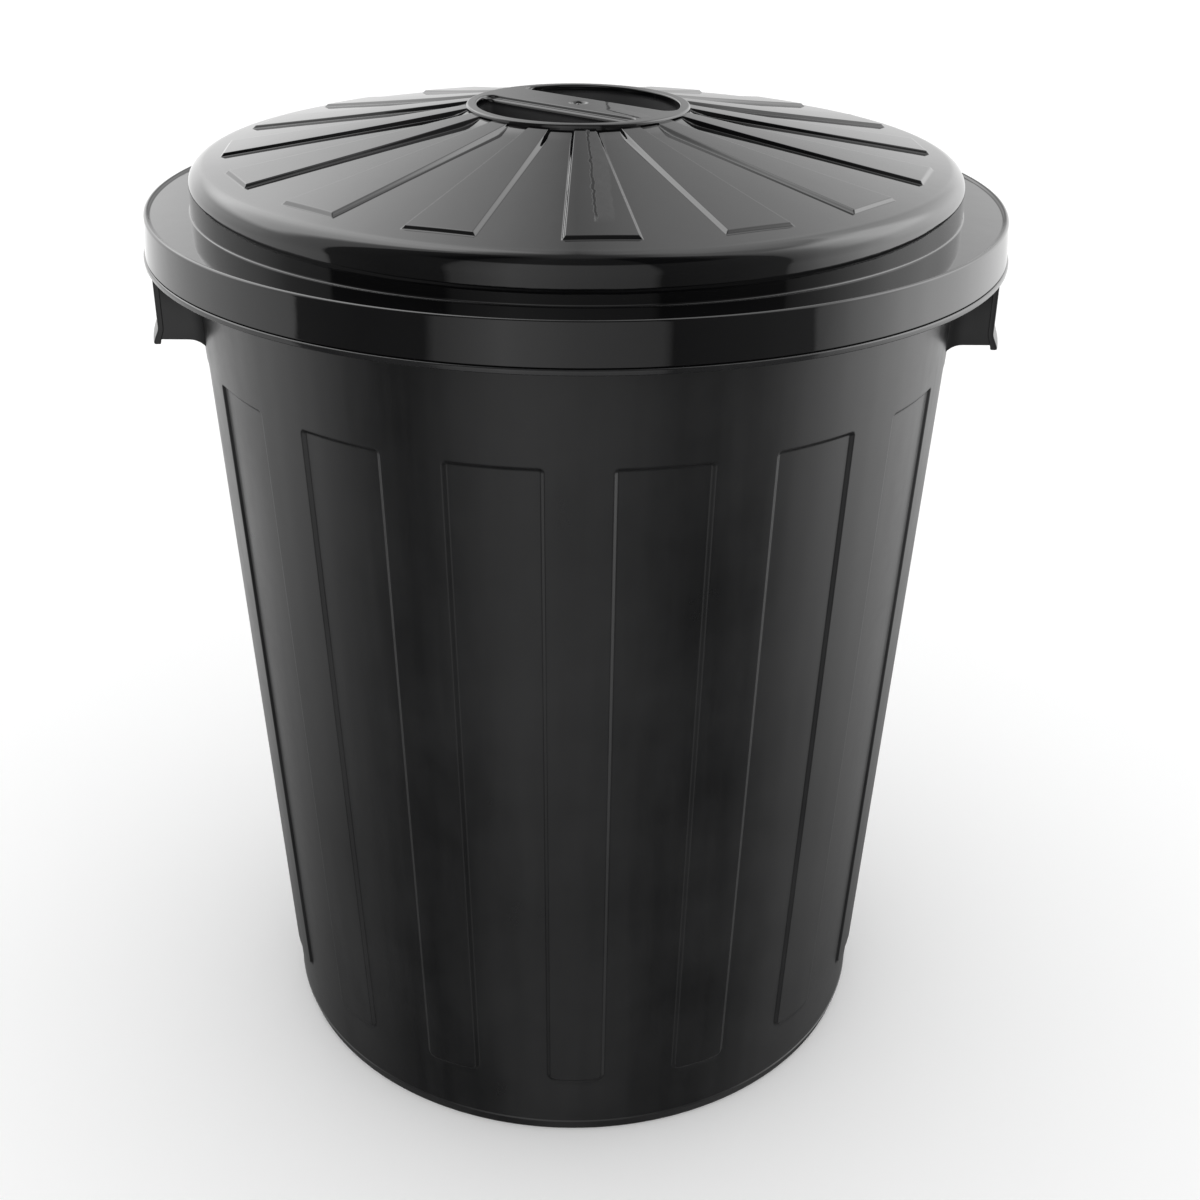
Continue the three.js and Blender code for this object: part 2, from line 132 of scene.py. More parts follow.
def moulding(name, *grids):
    """One closed mesh over grids of points in millimetres, rows by columns.

    The columns of each grid close on themselves. Its rows close where they shrink to a point or
    a line, or meet another grid or themselves again: equal points are merged there, and then
    all faces are turned outwards.
    """
    points, faces, used = [], [], 0
    for grid in grids:
        rows, columns = grid.shape[:2]
        row, column = np.arange(rows - 1)[:, None] * columns, np.arange(columns)[None, :]
        beside = (column + 1) % columns
        quads = np.stack([row + column, row + beside, row + columns + beside,
                          row + columns + column], -1)
        faces.extend((quads.reshape(-1, 4) + used).tolist())
        points.append(grid.reshape(-1, 3) / 1000)
        used += rows * columns
    mesh = bpy.data.meshes.new(name)
    mesh.from_pydata(np.concatenate(points).tolist(), [], faces)
    work = bmesh.new()
    work.from_mesh(mesh)
    bmesh.ops.remove_doubles(work, verts=work.verts, dist=1e-6)
    bmesh.ops.recalc_face_normals(work, faces=work.faces)
    work.to_mesh(mesh)
    work.free()
    mesh.shade_smooth()
    piece = bpy.data.objects.new(name, mesh)
    bpy.context.scene.collection.objects.link(piece)
    return piece


def strip_share(degrees, z):
    """How far the wall is pressed in: 0 on the tongues and above them, 1 in strips and below
    them.

    It is a ramp over the signed distance to the edge of the raised wall, measured from the
    nearest tongue's middle. The tongue's lower corners and the strip's upper corners are
    quarter circles.
    """
    pitch = 360 / STRIP_COUNT
    from_middle = np.abs((degrees + pitch / 2) % pitch - pitch / 2)
    beyond_side = np.radians(from_middle - TONGUE_HALF_ANGLE) * wall_radius(z)
    below_end = STRIP_LOW_Z - z
    side, end = beyond_side + TONGUE_CORNER, below_end + TONGUE_CORNER
    low = np.where((side > 0) & (end > 0), np.hypot(side, end) - TONGUE_CORNER,
                   np.maximum(beyond_side, below_end))
    below_top = STRIP_TOP_Z - z
    side, end = STRIP_CORNER - beyond_side, STRIP_CORNER - below_top
    high = np.where((side > 0) & (end > 0), STRIP_CORNER - np.hypot(side, end),
                    np.minimum(beyond_side, below_top))
    return ramp(np.where(z < 200, low, high), STRIP_BEVEL)


def tub_grid():
    """The tub's section against the angle: foot, wall with its strips, rim and inside.

    Rows and columns stand closer together at the strips' edges, where the wall bends.
    """
    sunk_base = WALL_BASE - STRIP_DEPTH
    rim_under = MOUTH_Z - RIM_THICKNESS
    hanging_inside = RIM_RADIUS - RIM_THICKNESS
    foot = rounded([
        [0, FOOT_RING_DEPTH, 0],
        [FOOT_RING_RADIUS - 3.7, FOOT_RING_DEPTH, 1.2],
        [FOOT_RING_RADIUS, 0, 0.8],
        [FOOT_RADIUS, 0, 1.0],
        [sunk_base + WALL_SLOPE * FOOT_EDGE_Z + 0.35, FOOT_EDGE_Z - 0.3, 0.25],
        [sunk_base + WALL_SLOPE * FOOT_EDGE_Z, FOOT_EDGE_Z + 0.6, 0.4],
        [sunk_base + WALL_SLOPE * 20, 20, 0],
    ], 4)
    wall_z = np.concatenate([
        np.linspace(28, 38.5, 4), np.linspace(39.3, 46.5, 19), np.linspace(50, 402, 20),
        np.linspace(406, 413, 19), np.linspace(415, 440, 5),
    ])[:, None]
    rim = rounded([
        [wall_radius(446), 446, 0],
        [wall_radius(rim_under), rim_under, 1.5],
        [hanging_inside, rim_under, 1.5],
        [hanging_inside, LEDGE_LOW_Z, 0.5],
        [LEDGE_RADIUS, LEDGE_LOW_Z, 0.4],
        [LEDGE_RADIUS, LEDGE_TOP_Z, 1.0],
        [RIM_RADIUS, LEDGE_TOP_Z, 0.5],
        [RIM_RADIUS, MOUTH_Z, 1.5],
        [wall_radius(MOUTH_Z) - WALL_THICKNESS, MOUTH_Z, 0.8],
        [wall_radius(FLOOR_Z) - WALL_THICKNESS, FLOOR_Z, 3.0],
        [0, FLOOR_Z, 0],
    ], 4)
    pitch = 360 / STRIP_COUNT
    edge = np.array([-0.3, -0.1, 0, 0.08, 0.17, 0.28, 0.4, 0.52, 0.62, 0.72, 0.85, 1.1])
    half = np.concatenate([[0, 1.6, 3.2], TONGUE_HALF_ANGLE + edge, [6.6, 8.0, 9.6]])
    one = np.concatenate([half, [pitch / 2], pitch - half[:0:-1]])
    degrees = (np.arange(STRIP_COUNT)[:, None] * pitch + one[None, :]).reshape(1, -1)
    wall = wall_radius(wall_z) - STRIP_DEPTH * strip_share(degrees, wall_z)
    degrees = degrees + TONGUE_TURN
    return np.concatenate([
        turned(foot[:, :1], foot[:, 1:], degrees),
        turned(wall, wall_z, degrees),
        turned(rim[:, :1], rim[:, 1:], degrees),
    ])


class Nodes:
    """Builds a node tree from left to right: each call adds one node and gives its output."""

    def __init__(self, owner):
        owner.use_nodes = True
        self.tree = owner.node_tree
        self.tree.nodes.clear()

    def add(self, kind, inputs=(), output=0, **settings):
        """One node. An input, found by name or number, is a value or another node's output."""
        node = self.tree.nodes.new(kind)
        for key, value in settings.items():
            setattr(node, key, value)
        for key, value in dict(inputs).items():
            if isinstance(value, bpy.types.NodeSocket):
                self.tree.links.new(value, node.inputs[key])
            else:
                node.inputs[key].default_value = value
        return node.outputs[output]

    def math(self, operation, *values):
        """A Math node on one to three values."""
        return self.add("ShaderNodeMath", enumerate(values), operation=operation)

    def ranged(self, value, low, high, to_low=0.0, to_high=1.0, kind="LINEAR"):
        """Maps low..high to to_low..to_high and holds the ends."""
        return self.add("ShaderNodeMapRange", enumerate((value, low, high, to_low, to_high)),
                        interpolation_type=kind)

    def noise(self, place, scale, detail=2.0, roughness=0.5):
        """Soft noise over a place, from 0 to 1."""
        return self.add("ShaderNodeTexNoise", {
            "Vector": place, "Scale": scale, "Detail": detail, "Roughness": roughness})

    def tint(self, share, first, second):
        """A colour between two, by a share from 0 to 1."""
        return self.add("ShaderNodeMix", {"Factor": share, 6: (*first, 1), 7: (*second, 1)}, 2,
                        data_type="RGBA")

    def bump(self, height, distance, *below):
        """A normal bumped by a height, laid on the bumped normal below it."""
        inputs = {"Height": height, "Distance": distance}
        inputs.update(("Normal", normal) for normal in below)
        return self.add("ShaderNodeBump", inputs)

    def finish(self, shader, kind="ShaderNodeOutputMaterial"):
        """Leads the shader to the output."""
        self.add(kind, {"Surface": shader}, output=slice(0))


def body_plastic():
    """Satin black polypropylene: a fine grain from the mould, cloudy patches of more and less
    polish, and faint upright marks where it was drawn out of the mould. The ledge and the rim
    came from a polished part of the mould and are glossy."""
    material = bpy.data.materials.new("satin_black_polypropylene")
    nodes = Nodes(material)
    place = nodes.add("ShaderNodeTexCoord", output="Object")
    upright = nodes.add("ShaderNodeMapping", {"Vector": place, "Scale": (1, 1, 0.05)})
    clouds = nodes.noise(place, 14, 4, 0.6)
    streaks = nodes.noise(upright, 90, 3, 0.55)
    mottle = nodes.noise(place, 130, 3, 0.6)
    mixed = nodes.math("MULTIPLY_ADD", streaks, 0.35, nodes.math("MULTIPLY", clouds, 0.65))
    colour = nodes.tint(nodes.ranged(mixed, 0.35, 0.65), (0.0055, 0.0056, 0.006),
                        (0.0118, 0.0119, 0.0123))
    satin = nodes.math("MULTIPLY_ADD", mottle, 0.06, nodes.ranged(mixed, 0.3, 0.7, 0.235, 0.365))
    height = nodes.add("ShaderNodeSeparateXYZ", {"Vector": place}, 2)
    polish = nodes.add("ShaderNodeMix", {
        "Factor": nodes.ranged(height, 0.4622, 0.4634), 2: satin, 3: 0.08})
    waves = nodes.bump(nodes.noise(upright, 24), 0.0005)
    grain = nodes.bump(nodes.noise(place, 1800), 0.00001, waves)
    nodes.finish(nodes.add("ShaderNodeBsdfPrincipled", {
        "Base Color": colour, "Roughness": polish, "Normal": grain, "IOR": 1.5}))
    return material


body_finish = body_plastic()
tub = moulding("tub_and_rim", tub_grid())
tub.data.materials.append(body_finish)
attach(tub, "bin")
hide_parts("tub", "rim_top", "rim_wall", "rim_ledge")

# ---- Carrying handles ------------------------------------------------------------------
# Two grips of the same plastic, moulded on under the ledge. Each is a curved wall with a lip
# along its lower edge, held to the tub by a thin web at either end with a fillet at its root.

HANDLE_RADIUS = 219.5
HANDLE_THICKNESS = 2.8
HANDLE_HALF_WIDTH = 61.0
HANDLE_LOW_Z = 422.0
HANDLE_ROUNDING = 0.8  # along the lower edge
HANDLE_TOP_Z = 464.5  # inside the ledge
LIP_REACH = 2.7  # outwards
LIP_TOP_Z = 431.0
WEB_INNER_END = 185.2  # inside the tub's wall
WEB_OUTER_END = 209.9  # inside the grip wall
WEB_LOW_Z = 424.4
WEB_ROOT = 11.0  # radius of the fillet where a web meets the tub's wall
WEB_SETBACK = 0.35  # of the web behind the end of the grip wall


def grip_wall_grid():
    """The curved wall of the handle on +X: paired points on its outside and inside down a
    section, against the angle. Towards each end the section shrinks by a quarter circle's
    inset, and the last row closes it along its middle line."""
    fall = np.linspace(0, 90, 6)
    z = np.concatenate([[HANDLE_TOP_Z, 452, 440], np.linspace(433, 425, 9),
                        [HANDLE_LOW_Z + HANDLE_ROUNDING * 1.6],
                        HANDLE_LOW_Z + HANDLE_ROUNDING * (1 - np.sin(np.radians(fall)))])
    pinch = np.clip(1 - (z - HANDLE_LOW_Z) / HANDLE_ROUNDING, 0, 1)
    pinch = HANDLE_ROUNDING * (1 - np.sqrt(1 - pinch ** 2))
    flare = LIP_REACH * ramp(LIP_TOP_Z - z, LIP_TOP_Z - HANDLE_LOW_Z, 0.3)
    outside = HANDLE_RADIUS + flare - pinch
    inside = HANDLE_RADIUS - HANDLE_THICKNESS + 0.75 * flare + pinch
    radius = np.concatenate([outside, inside[::-1]])[None, :]
    height = np.concatenate([z, z[::-1]])[None, :]
    middle = np.concatenate([outside + inside, (outside + inside)[::-1]])[None, :] / 2
    edge = 0.5
    turn = np.radians(np.linspace(0, 90, 5))[:, None]
    inset = np.concatenate([edge * (1 - np.cos(turn)), [[np.inf]]])
    along = HANDLE_HALF_WIDTH - edge * (1 - np.sin(turn))
    side = np.concatenate([along, along[-1:]])
    body = np.linspace(HANDLE_HALF_WIDTH - 2 * edge, edge * 2 - HANDLE_HALF_WIDTH, 41)[:, None]
    side = np.concatenate([-side[::-1], -body, side])
    inset = np.concatenate([inset[::-1], body * 0, inset])
    half = np.maximum(np.abs(radius - middle) - inset, 0)
    radius = middle + np.sign(radius - middle) * half
    height = np.minimum(height, HANDLE_TOP_Z) + np.minimum(inset, edge) * (height < WEB_LOW_Z)
    y = np.broadcast_to(side, radius.shape)
    return np.stack([np.sqrt(radius ** 2 - y ** 2), y, height], axis=-1)


def web_grid(end):
    """A web at one end (-1 or 1): a rectangle carried from inside the tub's wall to inside the
    grip wall. Near the wall it widens outwards and downwards by a circular fillet."""
    start, stop = WEB_INNER_END, WEB_OUTER_END
    along = np.concatenate([start + WEB_ROOT * (1 - np.cos(np.linspace(0, np.pi / 2, 10))),
                            [197, 203, stop - 0.4, stop, stop]])[:, None]
    from_wall = np.clip(along - start, 0, WEB_ROOT)
    fillet = WEB_ROOT - np.sqrt(WEB_ROOT ** 2 - (WEB_ROOT - from_wall) ** 2)
    outer = HANDLE_HALF_WIDTH - WEB_SETBACK
    inner = HANDLE_HALF_WIDTH - HANDLE_THICKNESS
    corners = rounded([
        [outer, HANDLE_TOP_Z, 0], [outer, WEB_LOW_Z, 0.5], [inner, WEB_LOW_Z, 0.5],
        [inner, HANDLE_TOP_Z, 0],
    ], 3)
    side, height = corners[None, :, 0], corners[None, :, 1]
    outside = np.clip((side - inner) / (outer - inner), 0, 1)
    below = np.clip(1 - (height - WEB_LOW_Z) / 12, 0, 1) ** 2
    y = side + 0.35 * fillet * outside
    z = height - fillet * below
    x = along + WALL_SLOPE * (z - 440) * (1 - (along - start) / (stop - start))
    x, y, z = np.broadcast_arrays(x, y, z)
    grid = np.stack([x, y * end, z], axis=-1)
    grid[-1] = grid[-1].mean(axis=0)
    return np.concatenate([grid[:1] * 0 + grid[0].mean(axis=0), grid])


handle_grids = grip_wall_grid(), web_grid(-1), web_grid(1)
for name, node, turn in (("handle_right", "right_handle", 1), ("handle_left", "left_handle", -1)):
    handle = moulding(name, *(grid * (turn, turn, 1) for grid in handle_grids))
    handle.data.materials.append(body_finish)
    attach(handle, "bin")
    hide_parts(node)

# ---- Lid -------------------------------------------------------------------------------
# One moulding in glossy black polypropylene, 2.5 mm thick. A skirt hangs over the rim, a flat
# flange with a slightly raised edge leads in to an upright neck, and a generous shoulder turns
# into the dome, which is embossed with sixteen bevelled ribs that widen outwards.

LID_TURN = 3.3  # the closed lid sits this far past the tub's front
LID_THICKNESS = 2.5
SKIRT_RADIUS = 220.0
SKIRT_LOW_RADIUS = 221.5
SKIRT_LOW_Z = 466.5
SKIRT_TOP_Z = 486.5
FLANGE_EDGE_RISE = 1.2  # of the raised edge's sharp corner over SKIRT_TOP_Z, before rounding
FLANGE_Z = 485.0
FLANGE_EDGE_RADIUS = 217.2  # where it turns up to its raised edge
NECK_RADIUS = 197.4
NECK_TOP_Z = 497.5
SHOULDER = 9.65  # radius of the turn from the neck into the dome
DOME_SLOPE = 0.152
RIB_COUNT = 16
RIB_HALF_ANGLE = 4.95  # of a rib's flat top
RIB_REACH = 180.0  # of the ribs, bevel and all, from the lid's middle
RIB_BEVEL = 1.7  # width of the sloping sides and end
RIB_HEIGHT_IN = 2.6
RIB_HEIGHT_OUT = 1.5
RING_RISE = 1.7  # of the dome where it meets the ring round the grip
RING_SPREAD = 11.0  # width of that rise
GRIP_RADIUS = 57.1
GRIP_TOP_Z = 531.5
WELD_LINES = (  # from and to in metres, how far each wanders, and the height of its ridge in mm
    ((0.0044, -0.0565), (0.0080, -0.166), 0.003, 0.22),
    ((0.0142, 0.0070), (0.0150, -0.0200), 0.003, 0.08),
    ((0.0146, -0.0190), (0.0310, -0.0400), 0.003, 0.08),
)

dome_angle = math.atan(DOME_SLOPE)
dome_edge = (NECK_RADIUS - SHOULDER * (1 - math.sin(dome_angle)),
             NECK_TOP_Z + SHOULDER * math.cos(dome_angle))


def dome_z(radius):
    """Height of the dome: a flat cone from the edge of the shoulder."""
    return dome_edge[1] + (dome_edge[0] - radius) * DOME_SLOPE


def rib_height(radius, degrees, inset):
    """Height of the ribs over the dome.

    Within a rib's flat top it grows with the cube of the way towards the middle, so most of it
    is near the ring. Over the bevel it falls with the distance beyond the top's side or end,
    whichever is more. An inset shrinks the rib, for its hollow underneath.
    """
    pitch = 360 / RIB_COUNT
    off = np.radians((degrees - LID_TURN + pitch / 2) % pitch - pitch / 2)
    along, across = radius * np.cos(off), radius * np.abs(np.sin(off))
    slope = math.radians(RIB_HALF_ANGLE)
    beyond_side = across * math.cos(slope) - along * math.sin(slope) + inset
    beyond_end = along - (RIB_REACH - RIB_BEVEL) + inset
    share = 1 - ramp(np.maximum(beyond_side, beyond_end), RIB_BEVEL, 0.15)
    inward = (RIB_REACH - along) / (RIB_REACH - GRIP_RADIUS)
    return share * (RIB_HEIGHT_OUT + (RIB_HEIGHT_IN - RIB_HEIGHT_OUT) * inward ** 3)


def foot_of_ring(radius):
    """Height over the cone of the dome where it rises to the ring round the grip: a parabola
    that starts level with the cone."""
    return RING_RISE * (1 - np.clip((radius - GRIP_RADIUS) / RING_SPREAD, 0, 1)) ** 2


def lid_grid():
    """The lid's section against the angle, over the top and back underneath. The columns run
    along the ribs' edges, and near the ribs' ends the rows run straight across them."""
    radius_at = np.concatenate([
        GRIP_RADIUS + np.array([-0.4, 0, 0.6, 1.6, 3, 4.8, 7, 9.4, 12]), np.linspace(75, 174, 15),
        np.linspace(176.6, 181.2, 16), [182.5, 184.5],
    ])[:, None]
    under = NECK_RADIUS - LID_THICKNESS
    underside = LID_THICKNESS / math.cos(dome_angle)
    shoulder = rounded([
        [185.3, dome_z(185.3), 0],
        [NECK_RADIUS, dome_z(NECK_RADIUS), SHOULDER],
        [NECK_RADIUS, 492, 0],
    ], 16)
    skirt = rounded([
        [NECK_RADIUS, 489, 0],
        [NECK_RADIUS, FLANGE_Z, 0.8],
        [FLANGE_EDGE_RADIUS, FLANGE_Z, 1.0],
        [SKIRT_RADIUS - 0.05, SKIRT_TOP_Z + FLANGE_EDGE_RISE, 1.2],
        [SKIRT_LOW_RADIUS, SKIRT_LOW_Z, 0.4],
        [SKIRT_LOW_RADIUS - LID_THICKNESS, SKIRT_LOW_Z, 0.6],
        [SKIRT_RADIUS - LID_THICKNESS, FLANGE_Z - LID_THICKNESS, 1.0],
        [under, FLANGE_Z - LID_THICKNESS, 4.0],
        [under, dome_z(under) - underside, SHOULDER - LID_THICKNESS],
        [184.8, dome_z(184.8) - underside, 0],
    ], 5)
    outside = np.concatenate([shoulder, skirt])
    plain = slice(7, -2, 2)  # the underside skips the rise to the ring and every other row
    radius_under = np.concatenate([radius_at[:1], radius_at[plain], radius_at[-2:]])[::-1]
    radius = np.concatenate([radius_at, outside[:, :1], radius_under, radius_at[:1]])
    edge = np.array([-0.3, 0, 0.13, 0.26, 0.7, 1.0, 1.44, 1.57, 1.7, 2.1])
    edge = RIB_HALF_ANGLE + np.degrees(edge / radius)
    pitch = 360 / RIB_COUNT
    inner = np.array([0, 0.22, 0.44, 0.64, 0.8, 0.92]) * edge[:, :1]
    outer = edge[:, -1:] + (pitch / 2 - edge[:, -1:]) * np.array([0.12, 0.35, 0.66])
    half = np.concatenate([inner, edge, outer], axis=1)
    one = np.concatenate([half, half[:, :1] + pitch / 2, pitch - half[:, :0:-1]], axis=1)
    turn = LID_TURN + np.arange(RIB_COUNT) * pitch
    degrees = (turn[None, :, None] + one[:, None, :]).reshape(len(radius), -1)
    off = np.radians(np.abs((degrees - LID_TURN + pitch / 2) % pitch - pitch / 2))
    fade = ramp(radius - 150, 25) * (1 - ramp(radius - 181.3, 3.9))
    bend = (1 / np.cos(off) - 1) * (1 - ramp(np.degrees(off) - 5.7, 3.5))
    radius = radius * (1 + bend * fade)
    count = len(radius_at)
    top = radius[:count]
    low = radius[count + len(outside):-1]
    z = np.concatenate([
        dome_z(top) + np.maximum(rib_height(top, degrees[:count], 0), foot_of_ring(top)),
        np.broadcast_to(outside[:, 1:], (len(outside), degrees.shape[1])),
        dome_z(low) - underside + rib_height(low, degrees[count + len(outside):-1], RIB_BEVEL),
        dome_z(top[:1]) + np.maximum(rib_height(top[:1], degrees[:1], 0), RING_RISE),
    ])
    return turned(radius, z, degrees)


def weld_line(nodes, place, start, end, wobble):
    """Across and along a weld line that wanders between two points in metres, seen from above:
    the signed distance from the line, and a share that is 1 along it and fades at its ends."""
    start, end = Vector((*start, 0)), Vector((*end, 0))
    ahead, length = (end - start).normalized(), (end - start).length
    shift = nodes.add("ShaderNodeVectorMath", {0: place, 1: start}, operation="SUBTRACT")
    along = nodes.add("ShaderNodeVectorMath", {0: shift, 1: ahead}, 1, operation="DOT_PRODUCT")
    across = nodes.add("ShaderNodeVectorMath", {0: shift, 1: (ahead.y, -ahead.x, 0)}, 1,
                       operation="DOT_PRODUCT")
    wander = nodes.math("SUBTRACT", nodes.noise(place, 170, 3), 0.5)
    across = nodes.math("MULTIPLY_ADD", wander, wobble, across)
    there = nodes.math("MULTIPLY", nodes.ranged(along, 0.0, 0.04 * length),
                       nodes.ranged(along, 0.92 * length, length, 1.0, 0.0))
    return across, there


def lid_plastic():
    """Glossy black polypropylene: a polished skin that ripples very slightly, with hairline
    rubs from handling and thin dust. The pockets of the grip are matt inside. Where two streams
    of the hot plastic met, on the front rib and on the bar, a fine groove wanders along a low
    ridge."""
    material = bpy.data.materials.new("glossy_black_polypropylene")
    nodes = Nodes(material)
    place = nodes.add("ShaderNodeTexCoord", output="Object")
    clouds = nodes.noise(place, 18, 4, 0.6)
    fine = nodes.noise(place, 420, 3, 0.6)
    dust = nodes.ranged(nodes.noise(place, 2300, 1), 0.66, 0.72)
    colour = nodes.tint(clouds, (0.0014, 0.0014, 0.0016), (0.0026, 0.0026, 0.0028))
    polish = nodes.math("ADD", nodes.ranged(clouds, 0.3, 0.7, 0.012, 0.03),
                        nodes.math("MULTIPLY_ADD", fine, 0.02, nodes.math("MULTIPLY", dust, 0.05)))
    level = nodes.add("ShaderNodeVectorMath", {0: place, 1: (1, 1, 0)}, operation="MULTIPLY")
    radius = nodes.add("ShaderNodeVectorMath", {0: level}, 1, operation="LENGTH")
    height = nodes.add("ShaderNodeSeparateXYZ", {"Vector": place}, 2)
    matt = nodes.math("MULTIPLY", nodes.ranged(radius, 0.0526, 0.0534, 1.0, 0.0),
                      nodes.ranged(height, 0.5262, 0.5288, 1.0, 0.0))
    colour = nodes.add("ShaderNodeMix", {"Factor": matt, 6: colour, 7: (0.028, 0.028, 0.029, 1)},
                       2, data_type="RGBA")
    polish = nodes.math("MAXIMUM", polish, nodes.math("MULTIPLY", matt, 0.5))
    surface = nodes.bump(nodes.noise(place, 30), 0.00010)
    for start, end, wobble, ridge in WELD_LINES:
        across, there = weld_line(nodes, place, start, end, wobble)
        groove = nodes.ranged(nodes.math("ABSOLUTE", across), 0.0004, 0.0011, 1.0, 0.0)
        groove = nodes.math("MULTIPLY", there, groove)
        polish = nodes.math("MAXIMUM", polish, nodes.math("MULTIPLY", groove, 0.95))
        crest = nodes.math("MULTIPLY", nodes.ranged(across, -0.008, 0.0, 0.0, ridge),
                           nodes.ranged(across, 0.0, 0.0007, 1.0, 0.0))
        surface = nodes.bump(nodes.math("MULTIPLY", there, crest), 0.001, surface)
    peel = nodes.bump(nodes.noise(place, 260), 0.000006, surface)
    nodes.finish(nodes.add("ShaderNodeBsdfPrincipled", {
        "Base Color": colour, "Roughness": polish, "Normal": peel, "IOR": 1.5}))
    return material


lid_finish = lid_plastic()
lid = moulding("lid_shell", lid_grid())
lid.data.materials.append(lid_finish)
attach(lid, "lid")
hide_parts("lid_skirt", "lid_flange", "lid_dome")

# ---- Grip in the lid -------------------------------------------------------------------
# The middle of the same moulding: a round recess in a raised ring, with a hollow bar left
# standing across it that the hand closes round. The gate where the plastic was injected leaves
# a dimple with a small nub in the middle of the bar.

RECESS_RADIUS = 51.7
RECESS_FLOOR_Z = 502.0
RECESS_CORNER = 4.0
RING_EDGE = 1.2
BAR_HALF_WIDTH = 15.5
BAR_EDGE = 4.8  # width and depth of the bar's stepped edge
POCKET_EDGE = 1.0  # rounding where the ring turns down into a pocket
BAR_STEP = 1.6  # from the bar's top down to the ledge along its edge
BAR_LEDGE = 2.9  # width of that ledge
BAR_TURN = 50.6  # direction of the bar
GRIP_THICKNESS = 2.8
LINE_COLUMNS = np.concatenate([np.linspace(-1, -0.13, 9)[:-1], np.linspace(-0.13, 0.13, 37),
                               np.linspace(0.13, 1, 9)[1:-1]])
CORNER_COLUMNS = np.arange(8) / 8
ARC_COLUMNS = np.arange(44) / 44


def pocket_outline(inset):
    """Outline of one D-shaped pocket: a straight side along the bar, a long arc along the ring
    and two corner arcs that touch both. An inset, which may differ from column to column, moves
    it inwards."""
    lines, corners = len(LINE_COLUMNS), len(CORNER_COLUMNS)
    arcs = len(ARC_COLUMNS)
    parts = np.split(inset, np.cumsum([lines, corners, arcs]), axis=1)

    def corner_of(part):
        radius = np.maximum(RECESS_CORNER - part, 0.8)
        u = BAR_HALF_WIDTH + part + radius
        v = np.sqrt((RECESS_RADIUS - part - radius) ** 2 - u ** 2)
        return radius, u, v, np.arctan2(v, u)

    radius, u, v, _ = corner_of(parts[0])
    line = u - radius, v * LINE_COLUMNS
    radius, u, v, end = corner_of(parts[1])
    angle = np.pi + (end - np.pi) * CORNER_COLUMNS
    upper = u + radius * np.cos(angle), v + radius * np.sin(angle)
    _, _, _, end = corner_of(parts[2])
    angle = end * (1 - 2 * ARC_COLUMNS)
    arc = (RECESS_RADIUS - parts[2]) * np.cos(angle), (RECESS_RADIUS - parts[2]) * np.sin(angle)
    radius, u, v, end = corner_of(parts[3])
    angle = -end + (end - np.pi) * CORNER_COLUMNS
    lower = u + radius * np.cos(angle), -v + radius * np.sin(angle)
    return np.stack([np.concatenate(pair, axis=1) for pair in zip(line, upper, arc, lower)], -1)


def half_disc(radius, reach, end):
    """Outline of the half disc round a pocket, column by column beside the pocket's outline:
    the middle line of the bar up to the reach where the pocket's straight side ends, on to the
    rim, and round the rim by way of the angle where the pocket's arc starts."""
    half = len(CORNER_COLUMNS) // 2
    step = np.arange(half) / half
    v = np.concatenate([reach * LINE_COLUMNS, reach + (radius - reach) * step])
    straight = np.stack([v * 0, v], axis=-1)
    quarter = np.pi / 2
    angle = np.concatenate([quarter + (end - quarter) * step, end * (1 - 2 * ARC_COLUMNS),
                            -end - (quarter - end) * step])
    curve = radius * np.stack([np.cos(angle), np.sin(angle)], axis=-1)
    v = -radius + (radius - reach) * step
    return np.concatenate([straight, curve, np.stack([v * 0, v], axis=-1)])


def bar_share():
    """1 on the columns along the bar, 0 on those along the ring, soft over the corners."""
    fade = ramp(CORNER_COLUMNS, 1.0, 0.4)
    return np.concatenate([np.ones(len(LINE_COLUMNS)), 1 - fade, np.zeros(len(ARC_COLUMNS)),
                           fade])[None, :]


def gate_mark(u, v):
    """The dimple and nub of the gate, by the distance from the middle of the bar: a half
    ellipse standing in a dish with a flat floor and a soft slope round it."""
    distance = np.hypot(u, v)
    nub = 1.4 * np.sqrt(np.clip(1 - (distance / 1.5) ** 2, 0, 1))
    return nub - 1.6 * (1 - ramp(distance - 2.8, 2.4, 0.45))


